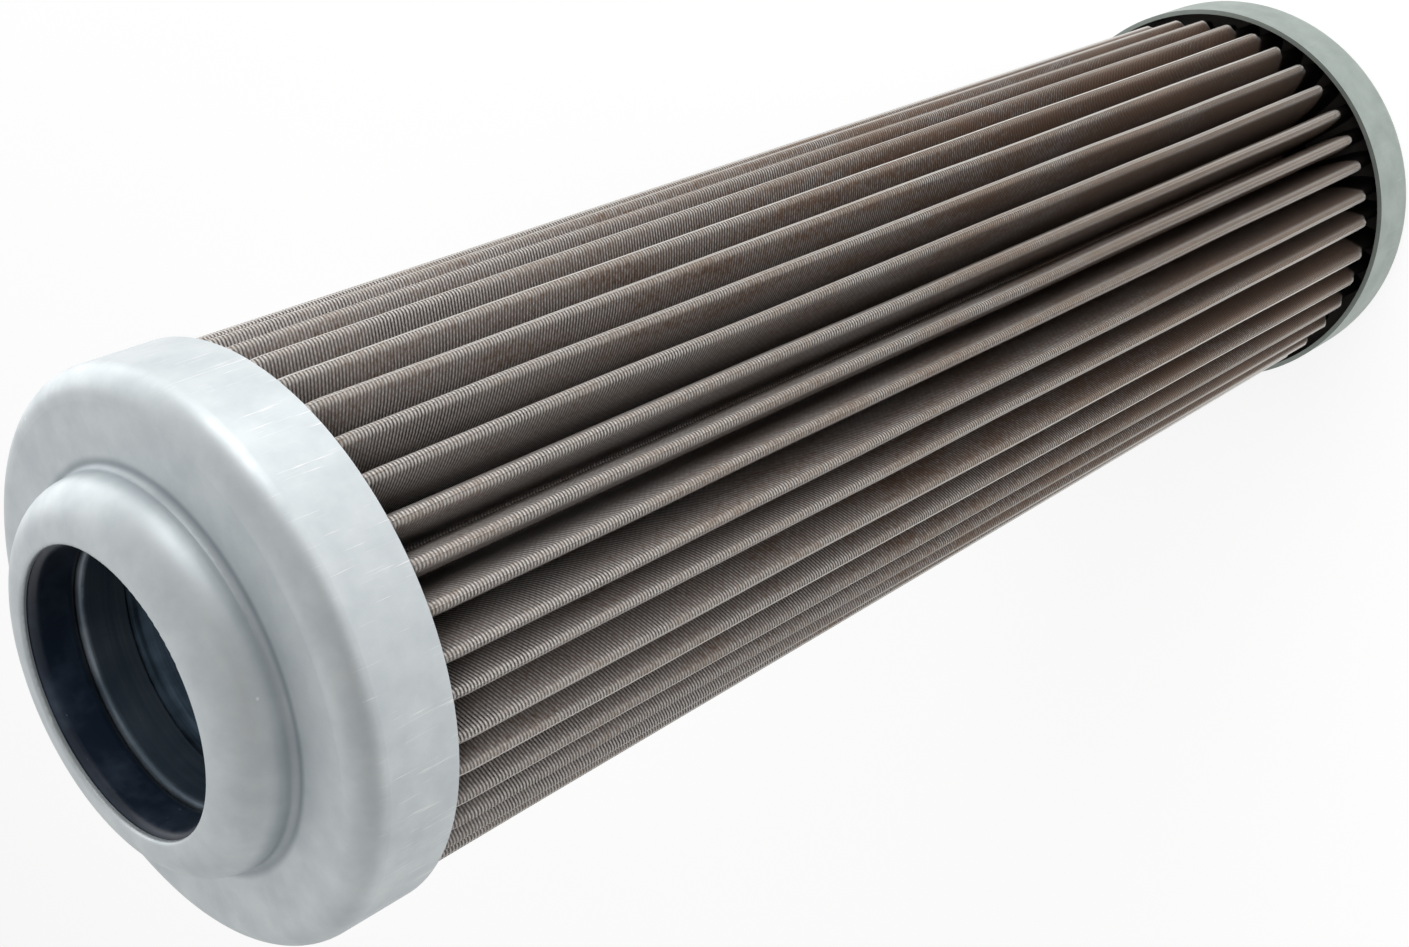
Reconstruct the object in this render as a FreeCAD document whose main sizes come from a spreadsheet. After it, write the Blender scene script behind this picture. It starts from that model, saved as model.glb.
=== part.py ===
import FreeCAD, Part

import os
from enum import IntEnum

import Sketcher
from FreeCAD import Placement, Rotation, Vector

# Hydraulic filter element: a pleated woven wire pack on a perforated core,
# potted between two drawn steel end caps. It stands on its closed end.
# Millimetres, Z up along the element's axis, origin at the middle of the
# closed end's outer face.

SIZES = (
    ("cap_outer_radius", 35.0, "outside of both skirts"),
    ("cap_depth", 12.7, "skirt's free edge to the flange's outer face"),
    ("cap_sheet", 0.8, "sheet of both caps"),
    ("cap_corner_radius", 3.5, "outer round between flange and skirt"),
    ("free_length", 216.4, "pleats in the open, between the two skirts"),
    ("seat_bore_radius", 16.5, "bore that the spigot enters, in the ring under the rubber"),
    ("seat_sheet", 0.8, "washer part of that ring"),
    ("seat_sleeve_wall", 0.4, "its sleeve, turned down into the core"),
    ("seat_sleeve_length", 5.0, "sleeve below the washer"),
    ("seat_bend_radius", 0.6, "round where the washer turns down into the sleeve"),
    ("seat_sleeve_clearance", 0.1, "sleeve to core"),
    ("seat_rim_clearance", 0.2, "washer to neck wall"),
    ("seal_step", 0.3, "rubber's bore over the seat ring's bore, on the radius"),
    ("seal_lip_radius", 1.3, "rounds on the rubber's bore"),
    ("mouth_step", 0.7, "mouth over the rubber's bore, on the radius"),
    ("mouth_lip_radius", 0.5, "round on the mouth's outer edge"),
    ("crown_width", 0.3, "flat top of the neck, between lip and shoulder"),
    ("neck_shoulder_radius", 5.6, "outer round at the top of the neck"),
    ("neck_wall_height", 0.6, "straight part of the neck's wall"),
    ("neck_root_radius", 0.8, "outer round where the neck leaves the flange"),
    ("core_wall", 0.8, "sheet of the core tube"),
    ("core_hole_radius", 2.5, "round holes in the core"),
    ("core_end_margin", 15.1, "end of the core to the first row's middle"),
    ("core_row_count", 11, "rows in each column"),
    ("core_column_count", 4, "columns around, twice over, staggered"),
    ("bed_thickness", 4.0, "resin that pots each end of the pack"),
    ("pleat_count", 40, "pleats around"),
    ("crest_clearance", 0.5, "crests to the inside of the skirts"),
    ("crest_fold_radius", 1.35, "outer round of each crest"),
    ("valley_fold_radius", 0.35, "open round at the foot of each valley"),
    ("cloth_thickness", 0.4, "filter cloth"),
    ("drainage_thickness", 0.4, "support cloth under it"),
    ("layer_clearance", 0.05, "between the two cloths"),
    ("core_clearance", 0.2, "innermost folds to the core"),
    ("clip_sheet", 0.35, "seam clip's sheet"),
    ("clip_clearance", 0.05, "seam clip to the crest that it closes"),
    ("clip_leg", 7.0, "straight legs of the clip"),
    ("clip_pleat", 10, "which crest the clip closes, counted from +X"),
)

# Angles in degrees, lengths and radii that several pieces share, as expressions
# over the sheet.
FULL_TURN = "360"
FLANGE_HEIGHT = "(2 * Sizes.cap_depth + Sizes.free_length)"
SKIRT_INNER = "(Sizes.cap_outer_radius - Sizes.cap_sheet)"
CORNER_INNER = "(Sizes.cap_corner_radius - Sizes.cap_sheet)"
SHOULDER_INNER = "(Sizes.neck_shoulder_radius - Sizes.cap_sheet)"
SEAL_BORE = "(Sizes.seat_bore_radius + Sizes.seal_step)"
MOUTH = f"({SEAL_BORE} + Sizes.mouth_step)"
NECK_OUTER = f"({MOUTH} + Sizes.mouth_lip_radius + Sizes.crown_width + Sizes.neck_shoulder_radius)"
NECK_INNER = f"({NECK_OUTER} - Sizes.cap_sheet)"
NECK_TOP = "(Sizes.neck_root_radius + Sizes.neck_wall_height + Sizes.neck_shoulder_radius)"
NECK_TOP_INNER = f"({NECK_TOP} - Sizes.cap_sheet)"
SLEEVE_OUTER = "(Sizes.seat_bore_radius + Sizes.seat_sleeve_wall)"
CORE_INNER = f"({SLEEVE_OUTER} + Sizes.seat_sleeve_clearance)"
CORE_OUTER = f"({CORE_INNER} + Sizes.core_wall)"
CORE_LENGTH = f"({FLANGE_HEIGHT} - 2 * Sizes.cap_sheet)"
CORE_ROW_STEP = f"(({CORE_LENGTH} - 2 * Sizes.core_end_margin) / (2 * Sizes.core_row_count - 1))"
PACK_BASE = "(Sizes.cap_sheet + Sizes.bed_thickness)"
PACK_LENGTH = f"({FLANGE_HEIGHT} - 2 * {PACK_BASE})"
CREST_RADIUS = f"({SKIRT_INNER} - Sizes.crest_clearance)"
CREST_CENTRE = f"({CREST_RADIUS} - Sizes.crest_fold_radius)"
LAYER_STEP = "(Sizes.cloth_thickness + Sizes.layer_clearance)"
PACK_THICKNESS = f"({LAYER_STEP} + Sizes.drainage_thickness)"
VALLEY_FLOOR = f"({CORE_OUTER} + Sizes.core_clearance)"
VALLEY_CENTRE = f"({VALLEY_FLOOR} + {PACK_THICKNESS} + Sizes.valley_fold_radius)"
PLEAT_PITCH = f"({FULL_TURN} / Sizes.pleat_count)"

# The share by which a measured volume may miss the one that it is checked against.
VOLUME_TOLERANCE = 0.01


class Own(IntEnum):
    """How a sketch names its own origin and axes."""

    ORIGIN = -1
    HORIZONTAL_AXIS = -1
    VERTICAL_AXIS = -2


class Spot(IntEnum):
    """How a sketch names the points of a curve."""

    START = 1
    END = 2
    CENTRE = 3


doc = FreeCAD.newDocument("PleatedFilterElement")
sheet = doc.addObject("Spreadsheet::Sheet", "Sizes")


def fill_sheet():
    """Writes one row for each driving size: name, value and what it sets."""
    for row, (name, value, note) in enumerate(SIZES, start=1):
        sheet.set(f"A{row}", name)
        sheet.set(f"B{row}", str(value))
        sheet.set(f"C{row}", note)
        sheet.setAlias(f"B{row}", name)
    doc.recompute()


def value_of(expression):
    """The number that an expression over the sheet gives now."""
    return float(sheet.evalExpression(str(expression)))


def new_body(name, height="0"):
    """An empty body, named for its piece, with its own origin at a height."""
    body = doc.addObject("PartDesign::Body", name)
    body.Label = name
    body.setExpression("Placement.Base.z", height)
    return body


def new_sketch(body, name, plane):
    """A sketch on one of the body's own origin planes."""
    sketch = body.newObject("Sketcher::SketchObject", name)
    planes = [item for item in body.Origin.OriginFeatures if item.Role == plane]
    sketch.AttachmentSupport = [(planes[0], "")]
    sketch.MapMode = "FlatFace"
    return sketch


def set_size(sketch, expression, kind, *places):
    """Adds a measured constraint and ties it to its expression."""
    constraint = Sketcher.Constraint(kind, *places, value_of(expression))
    index = sketch.addConstraint(constraint)
    sketch.setExpression(f"Constraints[{index}]", expression)


def add_arc(sketch, start, middle, stop):
    """Adds an arc through three points; returns it and the ends' names in that order."""
    arc = sketch.addGeometry(Part.Arc(start, middle, stop), False)
    first, last = (sketch.getPoint(arc, spot) for spot in (Spot.START, Spot.END))
    if first.distanceToPoint(start) < last.distanceToPoint(start):
        return arc, (Spot.START, Spot.END)
    return arc, (Spot.END, Spot.START)


def corner_points(runs):
    """The corner at the end of each upright or level run of an outline."""
    corners = []
    for index, (kind, place, _) in enumerate(runs):
        following = runs[(index + 1) % len(runs)][1]
        across, along = (place, following) if kind == "upright" else (following, place)
        corners.append(Vector(value_of(across), value_of(along), 0))
    return corners


def draw_outline(sketch, runs):
    """Draws a closed outline of upright and level runs with rounded corners.

    Each run is its kind, its distance from the axis or from the body's base,
    and the radius of the round that joins it to the next run, or None.
    """
    corners = corner_points(runs)
    rounds = [0.0 if radius is None else value_of(radius) for _, _, radius in runs]
    lines = []
    for index, (kind, place, _) in enumerate(runs):
        along = (corners[index] - corners[index - 1]).normalize()
        start = corners[index - 1] + along * rounds[index - 1]
        stop = corners[index] - along * rounds[index]
        line = sketch.addGeometry(Part.LineSegment(start, stop), False)
        sketch.addConstraint(Sketcher.Constraint("Vertical" if kind == "upright" else "Horizontal", line))
        measure = "DistanceX" if kind == "upright" else "DistanceY"
        set_size(sketch, place, measure, Own.ORIGIN, Spot.START, line, Spot.START)
        lines.append(line)
    for index, (_, _, radius) in enumerate(runs):
        following = lines[(index + 1) % len(lines)]
        if radius is None:
            meeting = Sketcher.Constraint("Coincident", lines[index], Spot.END, following, Spot.START)
            sketch.addConstraint(meeting)
        else:
            join_with_round(sketch, lines[index], following, corners[index], radius)


def join_with_round(sketch, line, following, corner, radius):
    """Joins two square lines with an arc that is tangent to both."""
    start = sketch.getPoint(line, Spot.END)
    stop = sketch.getPoint(following, Spot.START)
    centre = start + stop - corner
    middle = centre + (corner - centre).normalize() * value_of(radius)
    arc, ends = add_arc(sketch, start, middle, stop)
    sketch.addConstraint(Sketcher.Constraint("Tangent", line, Spot.END, arc, ends[0]))
    sketch.addConstraint(Sketcher.Constraint("Tangent", following, Spot.START, arc, ends[1]))
    set_size(sketch, radius, "Radius", arc)


def revolve(body, name, runs):
    """Turns an outline once about the element's axis."""
    sketch = new_sketch(body, f"{name}_outline", "XZ_Plane")
    draw_outline(sketch, runs)
    turned = body.newObject("PartDesign::Revolution", name)
    turned.Profile = sketch
    turned.ReferenceAxis = (sketch, ["V_Axis"])
    turned.Angle = value_of(FULL_TURN)
    doc.recompute()
    return turned


def repeat_around(body, name, feature, axis, count):
    """Repeats a feature evenly around the element."""
    around = body.newObject("PartDesign::PolarPattern", name)
    around.Originals = [feature]
    around.Axis = axis
    around.Angle = value_of(FULL_TURN)
    around.Occurrences = int(value_of(count))
    around.setExpression("Occurrences", count)
    around.Refine = True
    body.Tip = around
    doc.recompute()
    return around


def make_open_end_cap():
    """Drawn cap: skirt, rounded corner, flat flange and a necked mouth."""
    body = new_body("open_end_cap", FLANGE_HEIGHT)
    revolve(body, "open_cap_turned", (
        ("upright", "Sizes.cap_outer_radius", "Sizes.cap_corner_radius"),
        ("level", "0", "Sizes.neck_root_radius"),
        ("upright", NECK_OUTER, "Sizes.neck_shoulder_radius"),
        ("level", NECK_TOP, "Sizes.mouth_lip_radius"),
        ("upright", MOUTH, None),
        ("level", NECK_TOP_INNER, SHOULDER_INNER),
        ("upright", NECK_INNER, "(Sizes.neck_root_radius + Sizes.cap_sheet)"),
        ("level", "(-Sizes.cap_sheet)", CORNER_INNER),
        ("upright", SKIRT_INNER, None),
        ("level", "(-Sizes.cap_depth)", None),
    ))


def make_closed_end_cap():
    """Drawn cup that closes the foot of the element."""
    body = new_body("closed_end_cap")
    revolve(body, "closed_cap_turned", (
        ("level", "0", "Sizes.cap_corner_radius"),
        ("upright", "Sizes.cap_outer_radius", None),
        ("level", "Sizes.cap_depth", None),
        ("upright", SKIRT_INNER, CORNER_INNER),
        ("level", "Sizes.cap_sheet", None),
        ("upright", "0", None),
    ))


def make_neck_seal():
    """Moulded rubber ring that fills the neck below its lip."""
    body = new_body("neck_seal", FLANGE_HEIGHT)
    revolve(body, "seal_turned", (
        ("upright", SEAL_BORE, "Sizes.seal_lip_radius"),
        ("level", "(Sizes.seat_sheet - Sizes.cap_sheet)", None),
        ("upright", NECK_INNER, SHOULDER_INNER),
        ("level", NECK_TOP_INNER, "Sizes.seal_lip_radius"),
    ))


def make_seal_seat_ring():
    """Pressed washer that carries the rubber, with a sleeve into the core."""
    body = new_body("seal_seat_ring", f"({FLANGE_HEIGHT} - Sizes.cap_sheet)")
    revolve(body, "seat_turned", (
        ("upright", "Sizes.seat_bore_radius", None),
        ("level", "(-Sizes.seat_sleeve_length)", None),
        ("upright", SLEEVE_OUTER, None),
        ("level", "0", None),
        ("upright", f"({NECK_INNER} - Sizes.seat_rim_clearance)", None),
        ("level", "Sizes.seat_sheet", "Sizes.seat_bend_radius"),
    ))


def make_adhesive_beds():
    """Resin beds that hold the pack's ends, cast against flange and skirt."""
    closed = new_body("closed_end_adhesive", "Sizes.cap_sheet")
    revolve(closed, "closed_bed_turned", (
        ("upright", CORE_OUTER, None),
        ("level", "0", CORNER_INNER),
        ("upright", SKIRT_INNER, None),
        ("level", "Sizes.bed_thickness", None),
    ))
    opened = new_body("open_end_adhesive", f"({FLANGE_HEIGHT} - Sizes.cap_sheet)")
    revolve(opened, "open_bed_turned", (
        ("upright", CORE_OUTER, None),
        ("level", "(-Sizes.bed_thickness)", None),
        ("upright", SKIRT_INNER, CORNER_INNER),
        ("level", "0", None),
    ))


def make_core_tube():
    """Perforated tube that the valleys of the pack lean on."""
    body = new_body("core_tube", "Sizes.cap_sheet")
    revolve(body, "core_turned", (
        ("upright", CORE_INNER, None),
        ("level", "0", None),
        ("upright", CORE_OUTER, None),
        ("level", CORE_LENGTH, None),
    ))
    punch_columns(body, "even_holes", 0)
    punch_columns(body, "odd_holes", 1)


def punch_columns(body, name, stagger):
    """Punches one column of round holes and repeats it around the tube.

    A stagger of 1 moves the rows half a pitch up and the columns half a
    pitch around. A hole through the curved wall takes away a little more
    than its circle times the wall, so less than that means a missed cut.
    """
    before = body.Shape.Volume
    sketch = new_sketch(body, f"{name}_column", "XZ_Plane")
    turn = f"({stagger} * {FULL_TURN} / (2 * Sizes.core_column_count))"
    sketch.AttachmentOffset = Placement(Vector(0, 0, 0), Rotation(Vector(0, 1, 0), value_of(turn)))
    sketch.setExpression("AttachmentOffset.Rotation.Angle", turn)
    rows = int(value_of("Sizes.core_row_count"))
    for row in range(rows):
        place = f"(Sizes.core_end_margin + {2 * row + stagger} * {CORE_ROW_STEP})"
        middle = Vector(0, value_of(place), 0)
        radius = value_of("Sizes.core_hole_radius")
        hole = sketch.addGeometry(Part.Circle(middle, Vector(0, 0, 1), radius), False)
        sketch.addConstraint(Sketcher.Constraint("PointOnObject", hole, Spot.CENTRE, Own.VERTICAL_AXIS))
        set_size(sketch, place, "DistanceY", Own.ORIGIN, Spot.START, hole, Spot.CENTRE)
        set_size(sketch, "Sizes.core_hole_radius", "Radius", hole)
    pocket = body.newObject("PartDesign::Pocket", f"{name}_punched")
    pocket.Profile = sketch
    pocket.setExpression("Length", f"({CORE_OUTER} + Sizes.core_wall)")
    doc.recompute()
    around = repeat_around(body, name, pocket, (sketch, ["V_Axis"]), "Sizes.core_column_count")
    discs = rows * around.Occurrences * value_of("pi * Sizes.core_hole_radius ^ 2 * Sizes.core_wall")
    if (before - body.Shape.Volume) / discs < 1 - VOLUME_TOLERANCE:
        raise RuntimeError(f"{name} of the core were not cut")


def make_pleated_cloth(name, thickness, crest_fold, valley_fold):
    """One folded cloth: a single pleat, repeated around the element.

    The pleat is drawn across +X from the middle of one valley to the middle
    of the next. Each face of the cloth is a valley round, a straight flank,
    the crest round, the other flank and the other valley round.
    """
    body = new_body(name, PACK_BASE)
    sketch = new_sketch(body, f"{name}_section", "XY_Plane")
    rays = [draw_valley_ray(sketch, side) for side in (-1, 1)]
    outer = draw_pleat_face(sketch, rays, crest_fold, valley_fold)
    inner = draw_pleat_face(sketch, rays, f"({crest_fold} - {thickness})", f"({valley_fold} + {thickness})")
    for near, far in zip(outer, inner):
        edge = Part.LineSegment(sketch.getPoint(*near), sketch.getPoint(*far))
        line = sketch.addGeometry(edge, False)
        sketch.addConstraint(Sketcher.Constraint("Coincident", line, Spot.START, *near))
        sketch.addConstraint(Sketcher.Constraint("Coincident", line, Spot.END, *far))
    pleat = body.newObject("PartDesign::Pad", f"{name}_pleat")
    pleat.Profile = sketch
    pleat.setExpression("Length", PACK_LENGTH)
    doc.recompute()
    around = repeat_around(body, f"{name}_pleats", pleat, (sketch, ["N_Axis"]), "Sizes.pleat_count")
    if abs(body.Shape.Volume / (pleat.Shape.Volume * around.Occurrences) - 1) > VOLUME_TOLERANCE:
        raise RuntimeError(f"{name} does not hold every pleat")


def draw_valley_ray(sketch, side):
    """A construction line from the axis to the centre of one valley round."""
    across = f"({VALLEY_CENTRE} * cos({PLEAT_PITCH} / 2))"
    along = f"({side} * {VALLEY_CENTRE} * sin({PLEAT_PITCH} / 2))"
    centre = Vector(value_of(across), value_of(along), 0)
    ray = sketch.addGeometry(Part.LineSegment(Vector(0, 0, 0), centre), True)
    sketch.addConstraint(Sketcher.Constraint("Coincident", ray, Spot.START, Own.ORIGIN, Spot.START))
    set_size(sketch, across, "DistanceX", Own.ORIGIN, Spot.START, ray, Spot.END)
    set_size(sketch, along, "DistanceY", Own.ORIGIN, Spot.START, ray, Spot.END)
    return ray


def draw_pleat_face(sketch, rays, crest_fold, valley_fold):
    """Draws one face of the cloth over one pleat; returns its two open ends."""
    crest = Vector(value_of(CREST_CENTRE), 0, 0)
    normals = [flank_normal(sketch, ray, crest, crest_fold, valley_fold) for ray in rays]
    reach = value_of(crest_fold)
    shoulders = [crest + normal * reach for normal in normals]
    crest_arc, crest_ends = add_arc(sketch, shoulders[0], crest + Vector(reach, 0, 0), shoulders[1])
    sketch.addConstraint(Sketcher.Constraint("PointOnObject", crest_arc, Spot.CENTRE, Own.HORIZONTAL_AXIS))
    set_size(sketch, CREST_CENTRE, "DistanceX", Own.ORIGIN, Spot.START, crest_arc, Spot.CENTRE)
    set_size(sketch, crest_fold, "Radius", crest_arc)
    open_ends = []
    for ray, normal, shoulder, crest_end in zip(rays, normals, shoulders, crest_ends):
        valley = sketch.getPoint(ray, Spot.END)
        foot = valley - normal * value_of(valley_fold)
        inward = (valley * -1).normalize()
        floor = valley + inward * value_of(valley_fold)
        middle = valley + (inward - normal).normalize() * value_of(valley_fold)
        flank = sketch.addGeometry(Part.LineSegment(shoulder, foot), False)
        round_foot, ends = add_arc(sketch, foot, middle, floor)
        sketch.addConstraint(Sketcher.Constraint("Tangent", flank, Spot.START, crest_arc, crest_end))
        sketch.addConstraint(Sketcher.Constraint("Tangent", flank, Spot.END, round_foot, ends[0]))
        sketch.addConstraint(Sketcher.Constraint("Coincident", round_foot, Spot.CENTRE, ray, Spot.END))
        sketch.addConstraint(Sketcher.Constraint("PointOnObject", round_foot, ends[1], ray))
        set_size(sketch, valley_fold, "Radius", round_foot)
        open_ends.append((round_foot, ends[1]))
    return open_ends


def flank_normal(sketch, ray, crest, crest_fold, valley_fold):
    """Direction square to a flank that is tangent to crest and valley rounds.

    The crest round lies on one side of the flank and the valley round on the
    other, so the sum of their radii over the distance between their centres
    is the cosine of the angle between this direction and that of the centres.
    """
    span = sketch.getPoint(ray, Spot.END) - crest
    cosine = value_of(f"({crest_fold} + {valley_fold})") / span.Length
    sideways = Vector(span.y, -span.x, 0).normalize()
    if sideways.y * span.y < 0:
        sideways = sideways * -1
    return span.normalize() * cosine + sideways * (1 - cosine ** 2) ** 0.5


def make_seam_clip():
    """U-shaped strip over one crest, where the cloths' two ends meet."""
    body = new_body("seam_clip", PACK_BASE)
    turn = f"(Sizes.clip_pleat * {PLEAT_PITCH})"
    body.Placement.Rotation = Rotation(Vector(0, 0, 1), value_of(turn))
    body.setExpression("Placement.Rotation.Angle", turn)
    sketch = new_sketch(body, "clip_section", "XY_Plane")
    inner = "(Sizes.crest_fold_radius + Sizes.clip_clearance)"
    outer = f"({inner} + Sizes.clip_sheet)"
    leg_end = f"({CREST_CENTRE} - Sizes.clip_leg)"
    faces = []
    for radius in (inner, outer):
        reach = value_of(radius)
        centre = Vector(value_of(CREST_CENTRE), 0, 0)
        side = Vector(0, reach, 0)
        arc, ends = add_arc(sketch, centre - side, centre + Vector(reach, 0, 0), centre + side)
        sketch.addConstraint(Sketcher.Constraint("PointOnObject", arc, Spot.CENTRE, Own.HORIZONTAL_AXIS))
        set_size(sketch, CREST_CENTRE, "DistanceX", Own.ORIGIN, Spot.START, arc, Spot.CENTRE)
        set_size(sketch, radius, "Radius", arc)
        legs = []
        for end, start in zip(ends, (centre - side, centre + side)):
            stop = Vector(value_of(leg_end), start.y, 0)
            leg = sketch.addGeometry(Part.LineSegment(start, stop), False)
            sketch.addConstraint(Sketcher.Constraint("Tangent", leg, Spot.START, arc, end))
            sketch.addConstraint(Sketcher.Constraint("Horizontal", leg))
            set_size(sketch, leg_end, "DistanceX", Own.ORIGIN, Spot.START, leg, Spot.END)
            legs.append(leg)
        faces.append(legs)
    for near, far in zip(*faces):
        edge = Part.LineSegment(sketch.getPoint(near, Spot.END), sketch.getPoint(far, Spot.END))
        line = sketch.addGeometry(edge, False)
        sketch.addConstraint(Sketcher.Constraint("Coincident", line, Spot.START, near, Spot.END))
        sketch.addConstraint(Sketcher.Constraint("Coincident", line, Spot.END, far, Spot.END))
    strip = body.newObject("PartDesign::Pad", "clip_strip")
    strip.Profile = sketch
    strip.setExpression("Length", PACK_LENGTH)
    doc.recompute()


def check_and_write():
    """Stops at any failed object or shape, then writes each piece's file."""
    doc.recompute()
    for item in doc.Objects:
        if "Invalid" in item.State or "Error" in item.State:
            raise RuntimeError(f"{item.Label} failed: {item.State}")
    pieces = [item for item in doc.Objects if item.TypeId == "PartDesign::Body"]
    for piece in pieces:
        if piece.Shape.isNull() or not piece.Shape.isValid():
            raise RuntimeError(f"{piece.Label} has no valid shape")
        if len(piece.Shape.Solids) != 1:
            raise RuntimeError(f"{piece.Label} is not one solid")
    os.makedirs("parts", exist_ok=True)
    for piece in pieces:
        piece.Shape.exportStep(f"parts/{piece.Label}.step")
        print(f"{piece.Label}: {piece.Shape.Volume:.0f} mm3")


fill_sheet()
make_open_end_cap()
make_closed_end_cap()
make_neck_seal()
make_seal_seat_ring()
make_adhesive_beds()
make_core_tube()
make_pleated_cloth(
    "filter_mesh",
    "Sizes.cloth_thickness",
    "Sizes.crest_fold_radius",
    "Sizes.valley_fold_radius",
)
make_pleated_cloth(
    "drainage_mesh",
    "Sizes.drainage_thickness",
    f"(Sizes.crest_fold_radius - {LAYER_STEP})",
    f"(Sizes.valley_fold_radius + {LAYER_STEP})",
)
make_seam_clip()
check_and_write()
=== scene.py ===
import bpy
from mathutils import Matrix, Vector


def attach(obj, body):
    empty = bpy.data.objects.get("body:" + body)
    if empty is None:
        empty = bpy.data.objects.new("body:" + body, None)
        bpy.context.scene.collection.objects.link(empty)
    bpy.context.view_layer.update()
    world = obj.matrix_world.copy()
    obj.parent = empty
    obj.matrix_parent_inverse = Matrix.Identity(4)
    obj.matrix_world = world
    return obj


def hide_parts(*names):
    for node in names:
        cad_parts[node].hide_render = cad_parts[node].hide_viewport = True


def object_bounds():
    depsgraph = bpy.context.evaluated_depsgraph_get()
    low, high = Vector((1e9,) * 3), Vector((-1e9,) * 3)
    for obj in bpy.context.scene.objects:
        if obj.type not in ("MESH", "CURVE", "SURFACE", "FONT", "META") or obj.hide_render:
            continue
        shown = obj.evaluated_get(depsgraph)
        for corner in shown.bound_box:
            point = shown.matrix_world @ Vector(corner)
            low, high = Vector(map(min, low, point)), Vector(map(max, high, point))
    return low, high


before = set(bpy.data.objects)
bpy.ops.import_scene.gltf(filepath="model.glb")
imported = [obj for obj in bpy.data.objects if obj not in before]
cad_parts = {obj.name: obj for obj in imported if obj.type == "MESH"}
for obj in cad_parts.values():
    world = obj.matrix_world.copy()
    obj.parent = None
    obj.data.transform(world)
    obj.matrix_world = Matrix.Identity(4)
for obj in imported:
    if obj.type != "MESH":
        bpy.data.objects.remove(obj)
CAD_BOX = [list(corner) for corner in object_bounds()]

import logging
import math
from abc import ABC, abstractmethod
from dataclasses import dataclass
from enum import Enum

import bpy
import numpy as np
from mathutils import Matrix, Vector

# A hydraulic filter element: a pleated wire cloth pack on a perforated core, potted
# between two drawn steel caps. It stands on its closed end, Z up along its axis.
# Sizes are in millimetres and degrees, and the scales of noise count per metre. Only
# the lamps' and the floor's lengths are in metres.

MM = 0.001
FULL_TURN = 2 * math.pi
BELLY_PEAK = 27 / 4  # makes s (1 - s) squared reach 1 at its highest

Tree = bpy.types.NodeTree
Socket = bpy.types.NodeSocket
Span = tuple[float, float]

log = logging.getLogger("element")


class Slot(Enum):
    """The finishes that the part's record names."""

    CAP = "cap_finish"
    RUBBER = "seal_rubber"
    BRIGHT_STEEL = "bright_steel"
    WIRE_CLOTH = "wire_cloth"
    CORE_STEEL = "core_steel"
    RESIN = "potting_resin"


def linear(colour: str) -> tuple[float, float, float, float]:
    """Turns an sRGB hex colour to linear light.

    Args:
        colour: six hex digits, such as "C3CACC".

    Returns:
        Red, green, blue and an alpha of 1.
    """
    levels = [int(colour[i : i + 2], 16) / 255 for i in (0, 2, 4)]
    low = [level / 12.92 for level in levels]
    high = [((level + 0.055) / 1.055) ** 2.4 for level in levels]
    picked = [a if level <= 0.04045 else b for level, a, b in zip(levels, low, high)]
    return (*picked, 1.0)


def add_node(
    tree: Tree,
    kind: str,
    inputs: dict[str | int, object] | None = None,
    **settings: object,
) -> bpy.types.Node:
    """Adds one node with its settings, its plain input values and its links.

    Args:
        tree: the tree that gets the node.
        kind: the node's Blender type name.
        inputs: for each input, by name or place, a value or the output that feeds it.
        **settings: the node's own attributes, such as operation.

    Returns:
        The new node.
    """
    node = tree.nodes.new(kind)
    for key, value in settings.items():
        setattr(node, key, value)
    for key, value in (inputs or {}).items():
        if isinstance(value, Socket):
            tree.links.new(value, node.inputs[key])
        else:
            node.inputs[key].default_value = value
    return node


def maths(tree: Tree, operation: str, *values: object) -> Socket:
    """Adds a calculation on numbers.

    Args:
        tree: the tree that gets the node.
        operation: what is worked out, such as MULTIPLY.
        *values: its inputs in order, each a number or an output.

    Returns:
        The result.
    """
    node = add_node(tree, "ShaderNodeMath", dict(enumerate(values)), operation=operation)
    return node.outputs[0]


def vector_maths(tree: Tree, operation: str, *values: object) -> Socket:
    """Adds a calculation on vectors.

    Args:
        tree: the tree that gets the node.
        operation: what is worked out, such as LENGTH.
        *values: its inputs in order, each a vector or an output.

    Returns:
        The result, a number for a length or a dot product and else a vector.
    """
    node = add_node(tree, "ShaderNodeVectorMath", dict(enumerate(values)), operation=operation)
    return node.outputs["Value" if operation in ("LENGTH", "DOT_PRODUCT") else "Vector"]


def parts_of(tree: Tree, vector: Socket) -> list[Socket]:
    """Adds what takes a vector apart, and gives its x, y and z."""
    return list(add_node(tree, "ShaderNodeSeparateXYZ", {0: vector}).outputs)


def remap(
    tree: Tree, value: Socket, span: Span, levels: tuple[object, object], **settings: object
) -> Socket:
    """Adds a change of range that holds its ends.

    Args:
        tree: the tree that gets the node.
        value: what is changed.
        span: the values at which the change starts and ends.
        levels: the results there, each a number or an output.
        **settings: the node's own attributes.

    Returns:
        The result.
    """
    inputs = {"Value": value, 1: span[0], 2: span[1], 3: levels[0], 4: levels[1]}
    return add_node(tree, "ShaderNodeMapRange", inputs, **settings).outputs[0]


def blend(tree: Tree, factor: Socket, under: str | Socket, over: str | Socket) -> Socket:
    """Adds a mix of two colours.

    Args:
        tree: the tree that gets the node.
        factor: the second colour's share.
        under: the first colour, an sRGB hex or an output.
        over: the second one.

    Returns:
        The mixed colour.
    """
    first, second = (linear(tint) if isinstance(tint, str) else tint for tint in (under, over))
    inputs = {"Factor": factor, 6: first, 7: second}
    return add_node(tree, "ShaderNodeMix", inputs, data_type="RGBA").outputs[2]


def noise(
    tree: Tree, place: Socket, scale: float, detail: float, roughness: float = 0.5
) -> bpy.types.Node:
    """Adds soft noise.

    Args:
        tree: the tree that gets the node.
        place: where it is read.
        scale: how many of its lumps go into one unit of place.
        detail: how many finer layers it has.
        roughness: how strong those are.

    Returns:
        The node, whose first output is the noise.
    """
    inputs = {"Vector": place, "Scale": scale, "Detail": detail, "Roughness": roughness}
    return add_node(tree, "ShaderNodeTexNoise", inputs)


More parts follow.
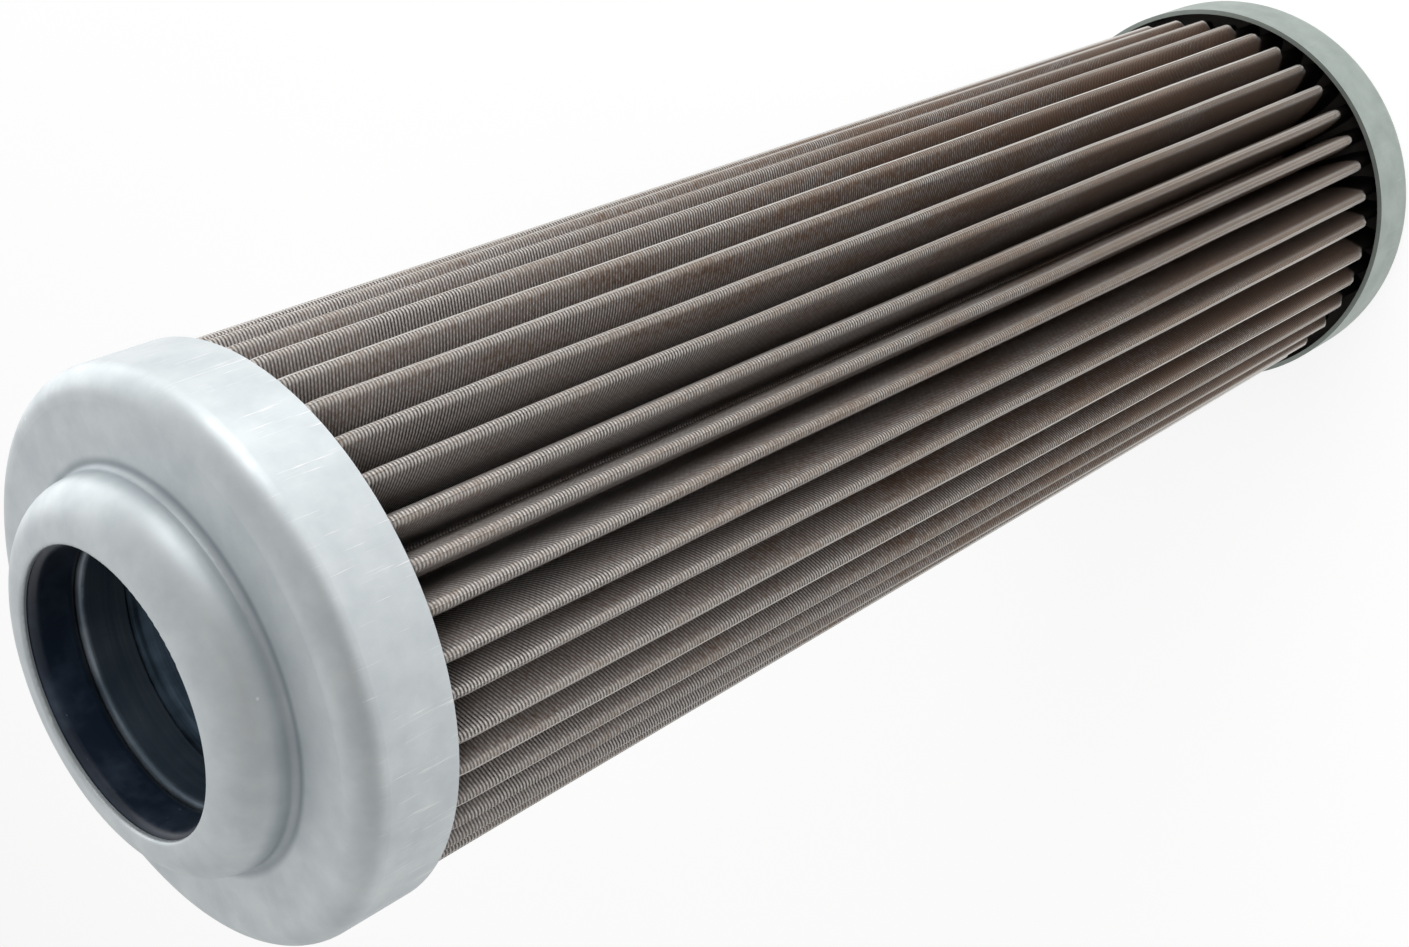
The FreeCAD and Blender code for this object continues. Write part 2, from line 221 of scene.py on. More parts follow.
def bump(tree: Tree, height: Socket, strength: float, depth: float) -> Socket:
    """Adds a relief.

    Args:
        tree: the tree that gets the node.
        height: its height, mostly 0 to 1.
        strength: how much of it shows.
        depth: what a height of 1 is in millimetres.

    Returns:
        The normal.
    """
    inputs = {"Height": height, "Strength": strength, "Distance": depth * MM}
    return add_node(tree, "ShaderNodeBump", inputs).outputs[0]


def off_axis(tree: Tree, place: list[Socket]) -> Socket:
    """Adds the distance from the element's axis, in metres, from a place's x, y and z."""
    flat = add_node(tree, "ShaderNodeCombineXYZ", {0: place[0], 1: place[1]})
    return vector_maths(tree, "LENGTH", flat.outputs[0])


def ray_kinds(tree: Tree) -> tuple[Socket, Socket]:
    """Adds what tells the rays apart.

    Args:
        tree: the tree that gets the nodes.

    Returns:
        1 for a ray from the camera, and 1 for one that a surface mirrors or lets through.
    """
    rays = add_node(tree, "ShaderNodeLightPath").outputs
    mirrored = maths(tree, "MAXIMUM", rays["Is Glossy Ray"], rays["Is Transmission Ray"])
    return rays["Is Camera Ray"], mirrored


def empty_material(name: str) -> tuple[bpy.types.Material, Tree]:
    """Makes a material with an empty node tree.

    Args:
        name: what the finish is.

    Returns:
        The material and its tree.
    """
    material = bpy.data.materials.new(name)
    material.use_nodes = True
    material.node_tree.nodes.clear()
    return material, material.node_tree


@dataclass(frozen=True)
class Finish(ABC):
    """A surface whose look is worked out from its place on the piece."""

    def build(self, name: str) -> bpy.types.Material:
        """Builds the material.

        Args:
            name: what the finish is.

        Returns:
            The material.
        """
        material, tree = empty_material(name)
        place = add_node(tree, "ShaderNodeTexCoord").outputs["Object"]
        shader = add_node(tree, "ShaderNodeBsdfPrincipled", self.surface(tree, place))
        add_node(tree, "ShaderNodeOutputMaterial", {"Surface": shader.outputs["BSDF"]})
        return material

    @abstractmethod
    def surface(self, tree: Tree, place: Socket) -> dict[str | int, object]:
        """Adds what the finish is made of.

        Args:
            tree: the material's tree.
            place: object coordinates, in metres.

        Returns:
            The surface shader's values and links.
        """


@dataclass(frozen=True)
class ZincPlatedSteel(Finish):
    """Deep-drawn sheet, barrel zinc plated and passivated.

    The plating is a satin blue-grey: soft cloudy reflections, a fine grain, bright upright
    draw lines on the skirt and a few specks of dust. Painted shade darkens the crease
    where the neck rises from the flange.
    """

    clean: str = "E1E7E9"
    clouded: str = "D6DDE0"
    scratched: str = "FFFFFF"
    metallic: float = 0.82
    roughness: float = 0.5
    roughness_spread: Span = (-0.03, 0.04)
    # Painted shade: a bluish darkening of the crease at the neck's foot, and its share.
    painted_shade: str = "7F8B95"
    painted_shade_share: float = 0.55
    crease_radius: float = 24.5
    crease_width: float = 1.1
    cloud_size: float = 5.0
    cloud_tint: Span = (0.35, 0.68)
    cloud_gloss: Span = (0.3, 0.7)
    grain_size: float = 0.35
    grain_share: float = 0.5
    relief: float = 0.5
    relief_depth: float = 0.02
    line_pitch: float = 0.4
    line_length: float = 14.0
    line_noise: Span = (0.61, 0.69)
    upright_slope: Span = (0.05, 0.5)
    skirt_radius: float = 35.0
    skirt_margin: float = 1.0
    speck_spacing: float = 5.5
    speck_edge: Span = (0.02, 0.05)
    speck_rarity: float = 0.82

    def surface(self, tree: Tree, place: Socket) -> dict[str | int, object]:
        """Adds the plating, its painted crease shade, its draw lines and its specks.

        Args:
            tree: the material's tree.
            place: object coordinates, in metres.

        Returns:
            The surface shader's values and links.
        """
        cloud_scale = 1 / (self.cloud_size * MM)
        clouds = noise(tree, place, cloud_scale, detail=4.0, roughness=0.6).outputs[0]
        grain = noise(tree, place, 1 / (self.grain_size * MM), detail=2.0).outputs[0]
        lines = self.draw_lines(tree, place)
        tint = remap(tree, clouds, self.cloud_tint, (0.0, 1.0))
        body = blend(tree, tint, self.clean, self.clouded)
        # Painted shade round the neck's foot.
        with_crease_shade = blend(tree, self.crease_painted_shade(tree, place), body, self.painted_shade)
        marked = blend(tree, self.dust_specks(tree, place), with_crease_shade, self.scratched)
        glossy, dull = (self.roughness + step for step in self.roughness_spread)
        grainy = maths(tree, "MULTIPLY", grain, self.grain_share)
        height = maths(tree, "ADD", lines, grainy)
        return {
            "Base Color": blend(tree, lines, marked, self.scratched),
            "Metallic": self.metallic,
            "Roughness": remap(tree, clouds, self.cloud_gloss, (glossy, dull)),
            "Normal": bump(tree, height, self.relief, self.relief_depth),
        }

    def crease_painted_shade(self, tree: Tree, place: Socket) -> Socket:
        """Adds a soft ring of painted shade round the neck's foot.

        It is full at the crease's radius and fades to nothing one width to either side.

        Args:
            tree: the material's tree.
            place: object coordinates.

        Returns:
            0 off the crease to the painted shade's share in it.
        """
        radius = off_axis(tree, parts_of(tree, place))
        beside = maths(tree, "SUBTRACT", radius, self.crease_radius * MM)
        away = maths(tree, "ABSOLUTE", beside)
        reach = (0.0, self.crease_width * MM)
        share = (self.painted_shade_share, 0.0)
        return remap(tree, away, reach, share, interpolation_type="SMOOTHSTEP")

    def draw_lines(self, tree: Tree, place: Socket) -> Socket:
        """Adds thin upright lines that show only on the skirt's upright face.

        Noise is read at the angle times the skirt's radius over the line pitch, and at the
        height over the line length, so it is stretched along the skirt.

        Args:
            tree: the material's tree.
            place: object coordinates.

        Returns:
            0 off a line to about 1 on it.
        """
        apart = parts_of(tree, place)
        angle = maths(tree, "ARCTAN2", apart[1], apart[0])
        around = maths(tree, "MULTIPLY", angle, self.skirt_radius / self.line_pitch)
        along = maths(tree, "MULTIPLY", apart[2], 1 / (self.line_length * MM))
        stretched = add_node(tree, "ShaderNodeCombineXYZ", {0: around, 1: along}).outputs[0]
        streaks = noise(tree, stretched, 1.0, detail=3.0, roughness=0.75).outputs[0]
        thin = remap(tree, streaks, self.line_noise, (0.0, 1.0))
        inside = (self.skirt_radius - self.skirt_margin) * MM
        outer = maths(tree, "GREATER_THAN", off_axis(tree, apart), inside)
        facing = add_node(tree, "ShaderNodeNewGeometry").outputs["True Normal"]
        level = maths(tree, "ABSOLUTE", parts_of(tree, facing)[2])
        upright = remap(tree, level, self.upright_slope, (1.0, 0.0))
        return maths(tree, "MULTIPLY", thin, maths(tree, "MULTIPLY", outer, upright))

    def dust_specks(self, tree: Tree, place: Socket) -> Socket:
        """Adds a sparse scatter of specks, one at most to a cell of the speck spacing.

        Args:
            tree: the material's tree.
            place: object coordinates.

        Returns:
            0 on clean metal to 1 on a speck.
        """
        inputs = {"Vector": place, "Scale": 1 / (self.speck_spacing * MM)}
        cells = add_node(tree, "ShaderNodeTexVoronoi", inputs).outputs
        near = remap(tree, cells["Distance"], self.speck_edge, (1.0, 0.0))
        chance = add_node(tree, "ShaderNodeSeparateColor", {0: cells["Color"]}).outputs[0]
        chosen = maths(tree, "GREATER_THAN", chance, self.speck_rarity)
        return maths(tree, "MULTIPLY", near, chosen)


@dataclass(frozen=True)
class MouldedRubber(Finish):
    """Black nitrile rubber, compression moulded.

    The mould leaves it smooth, so it has one soft sheen. Lighter blue-grey patches in
    its colour are partly bloom and partly painted sheen, with a few specks of dust.
    """

    black: str = "151D29"
    # Lighter blue-grey patches: partly bloom, partly painted sheen.
    bloom_and_painted_sheen: str = "3A4757"
    dust: str = "69727C"
    roughness: float = 0.33
    roughness_spread: Span = (-0.04, 0.2)
    refraction: float = 1.52
    bloom_size: float = 6.0
    bloom_and_painted_sheen_tint: Span = (0.45, 0.8)
    bloom_gloss: Span = (0.3, 0.8)
    bloom_and_painted_sheen_share: float = 0.5
    relief: float = 0.3
    relief_depth: float = 0.08
    dust_spacing: float = 2.6
    dust_edge: Span = (0.02, 0.06)
    dust_share: float = 0.7

    def surface(self, tree: Tree, place: Socket) -> dict[str | int, object]:
        """Adds the rubber, its bloom and painted sheen, and its dust.

        Args:
            tree: the material's tree.
            place: object coordinates, in metres.

        Returns:
            The surface shader's values and links.
        """
        bloom_scale = 1 / (self.bloom_size * MM)
        bloom_and_painted_sheen = noise(tree, place, bloom_scale, detail=5.0, roughness=0.65).outputs[0]
        share = remap(tree, bloom_and_painted_sheen, self.bloom_and_painted_sheen_tint, (0.0, self.bloom_and_painted_sheen_share))
        inputs = {"Vector": place, "Scale": 1 / (self.dust_spacing * MM)}
        dust = add_node(tree, "ShaderNodeTexVoronoi", inputs).outputs["Distance"]
        speck = remap(tree, dust, self.dust_edge, (self.dust_share, 0.0))
        # Lighter blue-grey patches: partly bloom, partly painted sheen.
        body = blend(tree, share, self.black, self.bloom_and_painted_sheen)
        glossy, dull = (self.roughness + step for step in self.roughness_spread)
        return {
            "Base Color": blend(tree, speck, body, self.dust),
            "Roughness": remap(tree, bloom_and_painted_sheen, self.bloom_gloss, (glossy, dull)),
            "IOR": self.refraction,
            "Normal": bump(tree, bloom_and_painted_sheen, self.relief, self.relief_depth),
        }


@dataclass(frozen=True)
class TurnedSteel(Finish):
    """Steel sheet or tube worked on a roller, so fine rings run round it.

    The rings catch the light as narrow ripples across the axis. Painted shade darkens it
    below the painted shade's top, a height in millimetres.
    """

    light: str
    dark: str
    metallic: float
    roughness: float
    ring_pitch: float
    ring_depth: float
    # Painted shade below its top height; on the seat's sleeve it stands for the bore's shade.
    painted_shade: str = "3A4855"
    painted_shade_share: float = 0.85
    painted_shade_top: float = -1.0
    painted_shade_edge: float = 0.4
    ring_change: float = 18.0
    stain_scale: float = 150.0
    stain_tint: Span = (0.14, 0.38)
    stain_gloss: Span = (0.3, 0.7)
    roughness_spread: Span = (-0.05, 0.1)
    relief: float = 0.6

    def surface(self, tree: Tree, place: Socket) -> dict[str | int, object]:
        """Adds the steel, its rings and its painted shade.

        Noise is read at the height over the ring pitch, and hardly changes across it,
        so it makes rings.

        Args:
            tree: the material's tree.
            place: object coordinates, in metres.

        Returns:
            The surface shader's values and links.
        """
        stretch = (self.ring_change, self.ring_change, 1 / (self.ring_pitch * MM))
        pressed = vector_maths(tree, "MULTIPLY", place, stretch)
        rings = noise(tree, pressed, 1.0, detail=3.0, roughness=0.6).outputs[0]
        stain = noise(tree, place, self.stain_scale, detail=4.0).outputs[0]
        both = maths(tree, "MULTIPLY", rings, stain)
        share = remap(tree, both, self.stain_tint, (0.0, 1.0))
        body = blend(tree, share, self.dark, self.light)
        # Painted shade: darker below the top height.
        fade = ((self.painted_shade_top - self.painted_shade_edge) * MM, self.painted_shade_top * MM)
        painted_shade_below = remap(tree, parts_of(tree, place)[2], fade, (self.painted_shade_share, 0.0))
        glossy, dull = (self.roughness + step for step in self.roughness_spread)
        return {
            "Base Color": blend(tree, painted_shade_below, body, self.painted_shade),
            "Metallic": self.metallic,
            "Roughness": remap(tree, stain, self.stain_gloss, (glossy, dull)),
            "Normal": bump(tree, rings, self.relief, self.ring_depth),
        }


@dataclass(frozen=True)
class StainlessWireCloth(Finish):
    """Stainless steel wire cloth, plain woven and then folded.

    Thick weft wires lie close together round the pleats and look like ribs, and finer
    warp wires cross them along the element. The folds are lighter, partly from wear and
    partly as a painted highlight, and a painted highlight brightens them where they are
    seen along their surface. The rest is a brown-grey with dark gaps between the wires,
    some of which lie lower, and oil film clogs the gaps in patches. The cloth grows browner
    and darker towards the closed end, and painted shade darkens it where it enters that
    cap. The real wires may be finer than these, which are as coarse as the picture needs.
    """

    wire: str = "E0D9D5"
    tarnish: str = "917766"
    gap: str = "2A2523"
    # Lighter folds: partly wear, partly painted highlight.
    fold: str = "DAD4C4"
    # The painted highlight's colour, seen along a fold.
    painted_highlight: str = "F2EFEA"
    metallic: float = 0.45
    roughness: float = 0.46
    edge_roughness: float = 0.3
    weft_pitch: float = 0.48
    warp_pitch: float = 0.42
    weft_lift: Span = (0.17, 0.83)
    warp_lift: Span = (-0.14, 0.17)
    relief: float = 0.8
    depth: float = 0.09
    patch_size: float = 7.0
    patch_stretch: float = 0.35
    wire_run: float = 0.9
    low_wire: float = 0.65
    low_noise: Span = (0.35, 0.65)
    wander: float = 0.5
    wander_size: float = 9.0
    # The tone grows browner and darker towards the closed end.
    stain_low: float = 0.36
    stain_high: float = -0.12
    stain_height: float = 220.0
    stain_noise: Span = (0.85, 1.2)
    fold_wear_and_painted_highlight: float = 0.2
    clog_noise: Span = (0.4, 0.62)
    clog_share: float = 0.35
    wire_height: Span = (0.05, 0.7)
    # Painted shade where the cloth enters the closed cap, fading out between these heights.
    painted_shade_at_cap: str = "1C1917"
    painted_shade_at_cap_low: float = 13.2
    painted_shade_at_cap_high: float = 14.6
    slant_blend: float = 0.5
    slant_seen: Span = (0.5, 0.85)
    fold_reach: Span = (0.0, 0.5)
    flank_painted_highlight: float = 0.1

    def surface(self, tree: Tree, place: Socket) -> dict[str | int, object]:
        """Adds the cloth on its own map, which is in millimetres.

        Args:
            tree: the material's tree.
            place: object coordinates, in metres.

        Returns:
            The surface shader's values and links.
        """
        sheet = add_node(tree, "ShaderNodeUVMap", uv_map="sheet").outputs[0]
        fold = add_node(tree, "ShaderNodeAttribute", attribute_name="fold").outputs["Fac"]
        height = parts_of(tree, place)[2]
        stretched = vector_maths(tree, "MULTIPLY", place, (1.0, 1.0, self.patch_stretch))
        patch_scale = 1 / (self.patch_size * MM)
        patches = noise(tree, stretched, patch_scale, detail=5.0, roughness=0.75).outputs[0]
        along_wire = (1 / self.wire_run, 1 / self.weft_pitch, 0.0)
        wire_by_wire = vector_maths(tree, "MULTIPLY", sheet, along_wire)
        grain = noise(tree, wire_by_wire, 1.0, detail=3.0, roughness=0.7).outputs[0]
        proud = remap(tree, grain, self.low_noise, (self.low_wire, 1.0))
        level_weave = self.weave(tree, self.wandering(tree, place, sheet))
        weave = maths(tree, "MULTIPLY", level_weave, proud)
        stain = self.stain(tree, height, maths(tree, "ADD", patches, grain))
        wire = blend(tree, stain, self.wire, self.tarnish)
        # Lighter folds: partly wear, partly painted highlight.
        wear_and_painted_highlight = blend(tree, maths(tree, "MULTIPLY", fold, self.fold_wear_and_painted_highlight), wire, self.fold)
        clogged = remap(tree, patches, self.clog_noise, (0.0, self.clog_share))
        shown = remap(tree, weave, self.wire_height, (clogged, 1.0))
        woven = blend(tree, shown, self.gap, wear_and_painted_highlight)
        # Painted shade where the cloth enters the closed cap.
        out_of_painted_shade = remap(tree, height, (self.painted_shade_at_cap_low * MM, self.painted_shade_at_cap_high * MM), (0.0, 1.0))
        colour = blend(tree, out_of_painted_shade, self.painted_shade_at_cap, woven)
        # Painted highlight: bright lines where a fold is seen along its surface, from Layer
        # Weight.
        painted_highlight = self.painted_highlight_lines(tree, fold, out_of_painted_shade)
        return {
            "Base Color": blend(tree, painted_highlight, colour, self.painted_highlight),
            "Metallic": remap(tree, painted_highlight, (0.0, 1.0), (self.metallic, 1.0)),
            "Roughness": remap(tree, painted_highlight, (0.0, 1.0), (self.roughness, self.edge_roughness)),
            "Normal": bump(tree, weave, self.relief, self.depth),
        }

    def wandering(self, tree: Tree, place: Socket, sheet: Socket) -> Socket:
        """Adds a slow drift to the map, so the wires don't run dead straight.

        Args:
            tree: the material's tree.
            place: object coordinates.
            sheet: the map's coordinates in millimetres.

        Returns:
            The map's coordinates plus up to the wander.
        """
        drift = noise(tree, place, 1 / (self.wander_size * MM), detail=1.0).outputs["Color"]
        share = (self.wander, self.wander, 0.0)
        return vector_maths(tree, "MULTIPLY_ADD", drift, share, sheet)

    def stain(self, tree: Tree, height: Socket, uneven: Socket) -> Socket:
        """Adds a browner, darker tone, patchy and growing towards the closed end.

        Args:
            tree: the material's tree.
            height: the height on the element, in metres.
            uneven: noise that makes it patchy.

        Returns:
            0 on clean wire to 1 on stained wire.
        """
        reach = (0.0, self.stain_height * MM)
        lower = remap(tree, height, reach, (self.stain_low, self.stain_high))
        return remap(tree, maths(tree, "ADD", uneven, lower), self.stain_noise, (0.0, 1.0))

    def painted_highlight_lines(self, tree: Tree, fold: Socket, out_of_painted_shade: Socket) -> Socket:
        """Adds a painted highlight: bright lines where a fold is seen along its surface.

        Args:
            tree: the material's tree.
            fold: 1 on a fold to 0 on a flank.
            out_of_painted_shade: 0 in the painted shade at the closed end to 1 above it.

        Returns:
            0 off a line to 1 on it.
        """
        slant = add_node(tree, "ShaderNodeLayerWeight", {"Blend": self.slant_blend})
        grazed = remap(tree, slant.outputs["Facing"], self.slant_seen, (0.0, 1.0))
        creased = remap(tree, fold, self.fold_reach, (self.flank_painted_highlight, 1.0))
        return maths(tree, "MULTIPLY", grazed, maths(tree, "MULTIPLY", creased, out_of_painted_shade))

    def weave(self, tree: Tree, sheet: Socket) -> Socket:
        """Adds the height of a plain weave.

        A weft wire is a raised cosine along the cloth's height and a warp wire is one
        across it. The product of two cosines of half that rate changes sign from one
        crossing to the next, so it lifts one wire and sinks the other by turns, and the
        higher of the two wires is what shows.

        Args:
            tree: the material's tree.
            sheet: the map's coordinates in millimetres, across and along.

        Returns:
            0 in a gap to 1 on the crown of a wire.
        """
        ways = zip(parts_of(tree, sheet), (self.warp_pitch, self.weft_pitch))
        halves = [maths(tree, "MULTIPLY", way, math.pi / pitch) for way, pitch in ways]
        waves = [maths(tree, "COSINE", half) for half in halves]
        over = maths(tree, "MULTIPLY", *waves)
        wires = [
            maths(
                tree,
                "MULTIPLY",
                maths(tree, "MULTIPLY", wave, wave),
                maths(tree, "MULTIPLY_ADD", over, *lift),
            )
            for wave, lift in zip(waves, (self.warp_lift, self.weft_lift))
        ]
        return maths(tree, "MAXIMUM", *reversed(wires))


@dataclass(frozen=True)
class CastResin(Finish):
    """Epoxy resin, poured and cured, dark with filler.

    It set level, with a dull skin and a few sunken bubbles.
    """

    dark: str = "262321"
    light: str = "3A3633"
    roughness: float = 0.55
    refraction: float = 1.55
    filler_scale: float = 900.0
    bubble_scale: float = 400.0
    relief: float = 0.4
    relief_depth: float = 0.15

    def surface(self, tree: Tree, place: Socket) -> dict[str | int, object]:
        """Adds the resin, its filler and its bubbles.

        Args:
            tree: the material's tree.
            place: object coordinates, in metres.

        Returns:
            The surface shader's values and links.
        """
        filler = noise(tree, place, self.filler_scale, detail=3.0).outputs[0]
        inputs = {"Vector": place, "Scale": self.bubble_scale}
        bubbles = add_node(tree, "ShaderNodeTexVoronoi", inputs).outputs["Distance"]
        return {
            "Base Color": blend(tree, filler, self.dark, self.light),
            "Roughness": self.roughness,
            "IOR": self.refraction,
            "Normal": bump(tree, bubbles, self.relief, self.relief_depth),
        }


def grid_object(
    name: str,
    points: np.ndarray,
    sheet: np.ndarray,
    material: bpy.types.Material,
) -> bpy.types.Object:
    """Makes a smooth object from a grid of points that closes on itself both ways.

    Args:
        name: the piece's name.
        points: rows by columns by 3, in millimetres.
        sheet: rows + 1 by columns + 1 by 2, each point's place on its sheet in
            millimetres, with the first row and column again at the end.
        material: its finish.

    Returns:
        The object, with its place in its mesh, in metres.
    """
    rows, columns = points.shape[:2]
    row, column = np.meshgrid(np.arange(rows), np.arange(columns), indexing="ij")
    steps = ((0, 0), (0, 1), (1, 1), (1, 0))
    corners = [((row + r) % rows) * columns + (column + c) % columns for r, c in steps]
    quads = np.stack(corners, axis=-1).reshape(-1, 4)
    places = np.stack([sheet[row + r, column + c] for r, c in steps], axis=-2)
    mesh = bpy.data.meshes.new(name)
    mesh.vertices.add(rows * columns)
    mesh.vertices.foreach_set("co", (points * MM).astype(np.float32).ravel())
    mesh.loops.add(quads.size)
    mesh.loops.foreach_set("vertex_index", quads.astype(np.int32).ravel())
    mesh.polygons.add(len(quads))
    mesh.polygons.foreach_set("loop_start", np.arange(0, quads.size, 4, dtype=np.int32))
    mesh.update(calc_edges=True)
    mesh.uv_layers.new(name="sheet").data.foreach_set("uv", places.astype(np.float32).ravel())
    mesh.polygons.foreach_set("use_smooth", np.ones(len(quads), dtype=bool))
    mesh.materials.append(material)
    piece = bpy.data.objects.new(name, mesh)
    bpy.context.scene.collection.objects.link(piece)
    return piece


def settle(piece: bpy.types.Object, node: str) -> None:
    """Puts a new piece in the place of a node of the frame and reports it.

    Args:
        piece: the finished piece.
        node: the node that it stands for.
    """
    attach(piece, "root")
    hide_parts(node)
    faces = 2 * len(piece.data.polygons)
    log.info("%s: %d triangles in place of %s", piece.name, faces, node)


def smooth_step(share: np.ndarray) -> np.ndarray:
    """Three times the square less twice the cube of a share held between 0 and 1."""
    held = np.clip(share, 0.0, 1.0)
    return held * held * (3 - 2 * held)


@dataclass(frozen=True)
class CrestShape:
    """The outer form of a pleat's crest: how wide it is and how it turns into the flanks."""

    half_width: float
    shoulder: float
    crown: float
    belly: float


@dataclass(frozen=True)
class Crowding:
    """How the pleats slide round the core, in degrees from the part's X axis.

    The back is held from the first angle to the second. Past it the slide eases in over
    one width, and before it the slide eases out over the other.
    """

    held_from: float = 50.0
    held_to: float = 115.0
    ease_after: float = 70.0
    ease_before: float = 60.0
    slide_below: float = 253.0
    slide_share: float = 0.1
    slide_back: float = 1.0


@dataclass
class PleatedPack:
    """The filter cloth and the drainage cloth under it, folded together on the core.

    The section of one pleat is a slightly domed crest with two rounded shoulders, two
    flanks that belly out below them, and half a valley round at each side. The pleats are
    those of the frame's nodes, with the unevenness of real folds: they crowd a little on
    one side, lean by turns, and their crests draw in where they enter the caps. The pleat
    in the seam clip is pressed to a plain round.
    """

    pleats: int = 40
    crest_radius: float = 33.7
    crest: CrestShape = CrestShape(half_width=0.82, shoulder=0.79, crown=0.05, belly=0.55)
    clipped_crest: CrestShape = CrestShape(half_width=1.35, shoulder=1.35, crown=0.0, belly=0.0)
    least_shoulder: float = 0.12
    valley_centre: float = 19.2
    valley_round: float = 0.35
    cloth: float = 0.28
    layer_gap: float = 0.02
    # How far down from a crest the wear and painted highlight reach, in shoulders.
    wear_and_painted_highlight_reach: float = 1.2
    base: float = 4.8
    top: float = 237.0
    skirt_low: float = 12.7
    skirt_high: float = 229.1
    crown_steps: int = 2
    shoulder_steps: int = 7
    flank_steps: int = 7
    valley_steps: int = 3
    end_rows: int = 8
    end_rows_from: float = -1.0
    end_rows_reach: float = 1.2
    sway: float = 0.05
    sway_growth: float = 1.5
    waves: tuple[float, float, float] = (91.0, 57.0, 37.0)
    lean: float = 0.3
    draw_in: Span = (2.4, 0.35)
    draw_in_length: float = 3.5
    draw_in_growth: int = 2
    draw_in_spread: Span = (0.5, 1.15)
    clip_pleat: int = 10
    crowding: Crowding = Crowding()
    seed: int = 7

    def layer(
        self, name: str, depth: float, finish: bpy.types.Material, face_rows: int, back_rows: int
    ) -> bpy.types.Object:
        """Builds one cloth as a closed sheet: up its outer face and down its inner one.

        Args:
            name: the piece's name.
            depth: how far its outer face lies below the pack's.
            finish: its material.
            face_rows: rows of points up the outer face.
            back_rows: rows of points down the inner face.

        Returns:
            The piece.
        """
        outer, across, fold = self.section(depth)
        inner, _, _ = self.section(depth + self.cloth)
        heights = [self.row_heights(face_rows), self.row_heights(back_rows)[::-1]]
        faces = [self.raise_section(part, rows) for part, rows in zip((outer, inner), heights)]
        points = np.concatenate(faces)
        rows = np.concatenate(heights)
        rows = np.append(rows, rows[0])
        sheet = np.stack(np.meshgrid(across, rows), axis=-1)
        piece = grid_object(name, points, sheet, finish)
        # The fold mark on the outer face, for wear and painted highlight.
        wear_and_painted_highlight = np.zeros(points.shape[:2], dtype=np.float32)
        wear_and_painted_highlight[:face_rows] = fold
        mark = piece.data.attributes.new("fold", "FLOAT", "POINT")
        mark.data.foreach_set("value", wear_and_painted_highlight.ravel())
        return piece

    def half_pleat(self, crest: CrestShape, depth: float) -> np.ndarray:
        """Works out half a pleat in section, from the middle of its crest to its valley.

        A parabola falls by the crown, a round turns the shoulder, and the flank runs to the
        valley round, whose centre is on the ray half a pitch away. The flank stands out by
        the belly times 27/4 of s (1 - s) squared, s being the share of its way down.

        Args:
            crest: the form of the crest.
            depth: how far the face lies below the pack's outer one.

        Returns:
            Points by 2: along the pleat's middle ray, and away from it.
        """
        half = math.pi / self.pleats
        width = crest.half_width - depth
        shoulder = max(crest.shoulder - depth, self.least_shoulder)
        valley_round = self.valley_round + depth
        apex = self.crest_radius - depth
        share = np.linspace(0.0, 1.0, self.crown_steps + 1)[:-1]
        crown = np.stack([apex - crest.crown * share**2, share * (width - shoulder)], axis=-1)
        centre = np.array([apex - crest.crown - shoulder, width - shoulder])
        valley = self.valley_centre * np.array([math.cos(half), math.sin(half)])
        foot = valley - np.array([0.0, valley_round])
        tilt = math.atan2(BELLY_PEAK * crest.belly, centre[0] - foot[0])
        turn = np.linspace(0.0, math.pi / 2 - tilt, self.shoulder_steps)
        bend = centre + shoulder * np.stack([np.cos(turn), np.sin(turn)], axis=-1)
        eased = 0.5 - 0.5 * np.cos(math.pi * np.linspace(0.0, 1.0, self.flank_steps + 2)[1:-1])
        flank = bend[-1] + (foot - bend[-1]) * eased[:, None]
        flank[:, 1] += BELLY_PEAK * crest.belly * eased * (1 - eased) ** 2
        turn = np.linspace(-math.pi / 2, half - math.pi, self.valley_steps)
        floor = valley + valley_round * np.stack([np.cos(turn), np.sin(turn)], axis=-1)
        return np.concatenate([crown, bend, flank, floor])

    def section(self, depth: float) -> tuple[np.ndarray, np.ndarray, np.ndarray]:
        """Works out one face of the cloth in section, all the way round.

        A pleat is half a pleat and its mirror image, and the pleats repeat round the axis,
        the one in the seam clip with its own form.

        Args:
            depth: how far the face lies below the pack's outer one.

        Returns:
            Points by 2 as radius and angle, the distance along the cloth at each point
            and at the first one again, and how much wear and painted highlight each point gets, 0
            to 1.
        """
        mirror = np.array([1.0, -1.0])
        forms = []
        for crest in (self.crest, self.clipped_crest):
            right = self.half_pleat(crest, depth)
            forms.append(np.concatenate([right[1:][::-1] * mirror, right[:-1]]))
        clipped = np.arange(self.pleats)[:, None, None] == self.clip_pleat
        ring = np.where(clipped, forms[1], forms[0])
        turns = np.arange(self.pleats)[:, None] * FULL_TURN / self.pleats
        radii = np.hypot(ring[..., 0], ring[..., 1]).ravel()
        angles = (np.arctan2(ring[..., 1], ring[..., 0]) + turns).ravel()
        flat = np.stack([radii * np.cos(angles), radii * np.sin(angles)], axis=-1)
        closed = np.concatenate([flat, flat[:1]])
        across = np.concatenate([[0.0], np.cumsum(np.hypot(*np.diff(closed, axis=0).T))])
        below = self.crest_radius - depth - ring[..., 0]
        wear_and_painted_highlight = 1 - smooth_step(below / (self.wear_and_painted_highlight_reach * self.crest.shoulder))
        return np.stack([radii, angles], axis=-1), across, wear_and_painted_highlight.ravel()

    def row_heights(self, count: int) -> np.ndarray:
        """Heights of the rows: close together where the pleats draw in, even between.

        Args:
            count: how many rows.

        Returns:
            Heights from the base to the top.
        """
        end_rows = min(self.end_rows, count // 2 - 2)
        reach = self.end_rows_reach * self.draw_in_length
        entry = np.linspace(self.end_rows_from, reach, end_rows)
        low, high = self.skirt_low + entry, self.skirt_high - entry[::-1]
        between = np.linspace(low[-1], high[0], count - 2 * end_rows)[1:-1]
        return np.concatenate([[self.base], low, between, high, [self.top]])

